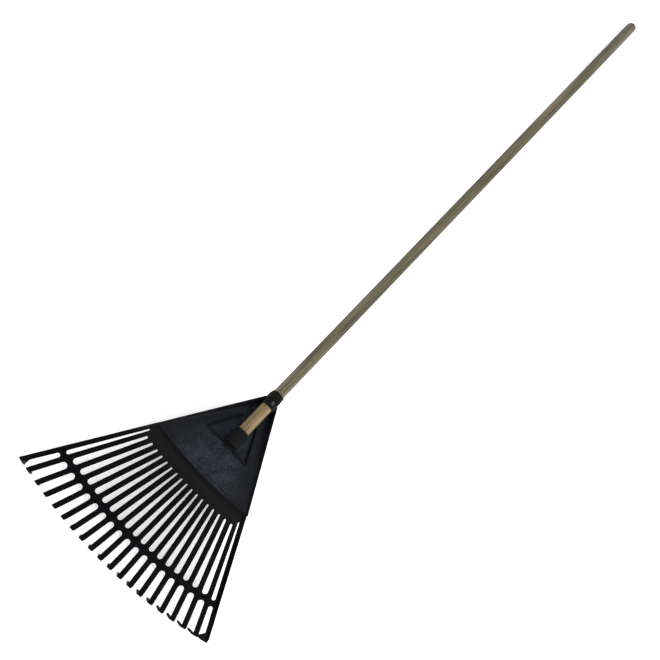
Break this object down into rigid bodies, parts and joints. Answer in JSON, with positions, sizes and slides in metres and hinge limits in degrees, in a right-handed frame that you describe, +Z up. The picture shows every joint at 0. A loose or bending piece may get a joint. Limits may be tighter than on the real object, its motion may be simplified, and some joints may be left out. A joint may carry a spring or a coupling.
{
  "type": "leaf rake",
  "caption": "Plastic leaf rake: triangular fan head with slotted springy tines, a crossbar and down-turned hooks, on a round timber handle.",
  "frame": {"origin": "on the ground under the middle of the whole rake, which lies hooks down on its hook feet and the far end of its handle", "axes": "+X across the fan to the right as seen from the handle looking down at the head with the handle end away, +Y along the rake from the hooks to the grip end of the handle, +Z up out of the ground"},
  "size_m": [0.5242, 1.828, 0.099],
  "materials": {
    "plate_plastic": "matte moulded, faintly mottled blue-black",
    "tine_plastic": "satin moulded near-black",
    "timber": "sanded hardwood, weathered grey-brown",
    "zinc_screw": "zinc plated"
  },
  "bodies": {
    "rake_body": {"handle": "timber", "fixing_screw": "zinc_screw", "socket_collar": "tine_plastic", "socket_cup": "tine_plastic", "head_plate": "plate_plastic", "flank_left": "plate_plastic", "flank_right": "plate_plastic", "rim_left": "tine_plastic", "rim_right": "tine_plastic", "step_wall": "tine_plastic", "rib_base": "tine_plastic", "rib_left": "tine_plastic", "rib_right": "tine_plastic"},
    "fan": {"root_band": "tine_plastic", "crossbar": "tine_plastic", "inner_tine_01": "tine_plastic", "inner_tine_02": "tine_plastic", "inner_tine_03": "tine_plastic", "inner_tine_04": "tine_plastic", "inner_tine_05": "tine_plastic", "inner_tine_06": "tine_plastic", "inner_tine_07": "tine_plastic", "inner_tine_08": "tine_plastic", "inner_tine_09": "tine_plastic", "inner_tine_10": "tine_plastic", "inner_tine_11": "tine_plastic", "inner_tine_12": "tine_plastic", "inner_tine_13": "tine_plastic", "inner_tine_14": "tine_plastic", "inner_tine_15": "tine_plastic", "inner_tine_16": "tine_plastic", "inner_tine_17": "tine_plastic", "inner_tine_18": "tine_plastic", "inner_tine_19": "tine_plastic", "inner_tine_20": "tine_plastic"},
    "tine_01": {"tine_tip_01": "tine_plastic"},
    "tine_02": {"tine_tip_02": "tine_plastic"},
    "tine_03": {"tine_tip_03": "tine_plastic"},
    "tine_04": {"tine_tip_04": "tine_plastic"},
    "tine_05": {"tine_tip_05": "tine_plastic"},
    "tine_06": {"tine_tip_06": "tine_plastic"},
    "tine_07": {"tine_tip_07": "tine_plastic"},
    "tine_08": {"tine_tip_08": "tine_plastic"},
    "tine_09": {"tine_tip_09": "tine_plastic"},
    "tine_10": {"tine_tip_10": "tine_plastic"},
    "tine_11": {"tine_tip_11": "tine_plastic"},
    "tine_12": {"tine_tip_12": "tine_plastic"},
    "tine_13": {"tine_tip_13": "tine_plastic"},
    "tine_14": {"tine_tip_14": "tine_plastic"},
    "tine_15": {"tine_tip_15": "tine_plastic"},
    "tine_16": {"tine_tip_16": "tine_plastic"},
    "tine_17": {"tine_tip_17": "tine_plastic"},
    "tine_18": {"tine_tip_18": "tine_plastic"},
    "tine_19": {"tine_tip_19": "tine_plastic"},
    "tine_20": {"tine_tip_20": "tine_plastic"}
  },
  "joints": [
    {"name": "fan_flex", "type": "hinge", "parent": "rake_body", "child": "fan", "pos_m": [0, -0.6647, 0.05676], "axis": [-1, 0, 0], "range_deg": [-3, 5], "stiffness_Nm_per_rad": 60},
    {"name": "tine_flex_01", "type": "hinge", "parent": "fan", "child": "tine_01", "pos_m": [-0.22801, -0.82456, 0.03682], "axis": [-0.865, 0.4979, 0.0621], "range_deg": [-6, 10], "stiffness_Nm_per_rad": 2},
    {"name": "tine_flex_02", "type": "hinge", "parent": "fan", "child": "tine_02", "pos_m": [-0.20247, -0.82973, 0.03617], "axis": [-0.8914, 0.4496, 0.0561], "range_deg": [-6, 10], "stiffness_Nm_per_rad": 2},
    {"name": "tine_flex_03", "type": "hinge", "parent": "fan", "child": "tine_03", "pos_m": [-0.17744, -0.83418, 0.03562], "axis": [-0.9151, 0.4, 0.0499], "range_deg": [-6, 10], "stiffness_Nm_per_rad": 2},
    {"name": "tine_flex_04", "type": "hinge", "parent": "fan", "child": "tine_04", "pos_m": [-0.15287, -0.83796, 0.03514], "axis": [-0.936, 0.3492, 0.0436], "range_deg": [-6, 10], "stiffness_Nm_per_rad": 2},
    {"name": "tine_flex_05", "type": "hinge", "parent": "fan", "child": "tine_05", "pos_m": [-0.12869, -0.84112, 0.03475], "axis": [-0.9541, 0.2973, 0.0371], "range_deg": [-6, 10], "stiffness_Nm_per_rad": 2},
    {"name": "tine_flex_06", "type": "hinge", "parent": "fan", "child": "tine_06", "pos_m": [-0.10485, -0.8437, 0.03443], "axis": [-0.9692, 0.2445, 0.0305], "range_deg": [-6, 10], "stiffness_Nm_per_rad": 2},
    {"name": "tine_flex_07", "type": "hinge", "parent": "fan", "child": "tine_07", "pos_m": [-0.08127, -0.84573, 0.03417], "axis": [-0.9813, 0.191, 0.0238], "range_deg": [-6, 10], "stiffness_Nm_per_rad": 2},
    {"name": "tine_flex_08", "type": "hinge", "parent": "fan", "child": "tine_08", "pos_m": [-0.0579, -0.84723, 0.03399], "axis": [-0.9904, 0.1368, 0.0171], "range_deg": [-6, 10], "stiffness_Nm_per_rad": 2},
    {"name": "tine_flex_09", "type": "hinge", "parent": "fan", "child": "tine_09", "pos_m": [-0.03468, -0.84822, 0.03386], "axis": [-0.9966, 0.0823, 0.0103], "range_deg": [-6, 10], "stiffness_Nm_per_rad": 2},
    {"name": "tine_flex_10", "type": "hinge", "parent": "fan", "child": "tine_10", "pos_m": [-0.01155, -0.84871, 0.0338], "axis": [-0.9996, 0.0274, 0.0034], "range_deg": [-6, 10], "stiffness_Nm_per_rad": 2},
    {"name": "tine_flex_11", "type": "hinge", "parent": "fan", "child": "tine_11", "pos_m": [0.01155, -0.84871, 0.0338], "axis": [-0.9996, -0.0274, -0.0034], "range_deg": [-6, 10], "stiffness_Nm_per_rad": 2},
    {"name": "tine_flex_12", "type": "hinge", "parent": "fan", "child": "tine_12", "pos_m": [0.03468, -0.84822, 0.03386], "axis": [-0.9966, -0.0823, -0.0103], "range_deg": [-6, 10], "stiffness_Nm_per_rad": 2},
    {"name": "tine_flex_13", "type": "hinge", "parent": "fan", "child": "tine_13", "pos_m": [0.0579, -0.84723, 0.03399], "axis": [-0.9904, -0.1368, -0.0171], "range_deg": [-6, 10], "stiffness_Nm_per_rad": 2},
    {"name": "tine_flex_14", "type": "hinge", "parent": "fan", "child": "tine_14", "pos_m": [0.08127, -0.84573, 0.03417], "axis": [-0.9813, -0.191, -0.0238], "range_deg": [-6, 10], "stiffness_Nm_per_rad": 2},
    {"name": "tine_flex_15", "type": "hinge", "parent": "fan", "child": "tine_15", "pos_m": [0.10485, -0.8437, 0.03443], "axis": [-0.9692, -0.2445, -0.0305], "range_deg": [-6, 10], "stiffness_Nm_per_rad": 2},
    {"name": "tine_flex_16", "type": "hinge", "parent": "fan", "child": "tine_16", "pos_m": [0.12869, -0.84112, 0.03475], "axis": [-0.9541, -0.2973, -0.0371], "range_deg": [-6, 10], "stiffness_Nm_per_rad": 2},
    {"name": "tine_flex_17", "type": "hinge", "parent": "fan", "child": "tine_17", "pos_m": [0.15287, -0.83796, 0.03514], "axis": [-0.936, -0.3492, -0.0436], "range_deg": [-6, 10], "stiffness_Nm_per_rad": 2},
    {"name": "tine_flex_18", "type": "hinge", "parent": "fan", "child": "tine_18", "pos_m": [0.17744, -0.83418, 0.03562], "axis": [-0.9151, -0.4, -0.0499], "range_deg": [-6, 10], "stiffness_Nm_per_rad": 2},
    {"name": "tine_flex_19", "type": "hinge", "parent": "fan", "child": "tine_19", "pos_m": [0.20247, -0.82973, 0.03617], "axis": [-0.8914, -0.4496, -0.0561], "range_deg": [-6, 10], "stiffness_Nm_per_rad": 2},
    {"name": "tine_flex_20", "type": "hinge", "parent": "fan", "child": "tine_20", "pos_m": [0.22801, -0.82456, 0.03682], "axis": [-0.865, -0.4979, -0.0621], "range_deg": [-6, 10], "stiffness_Nm_per_rad": 2}
  ]
}
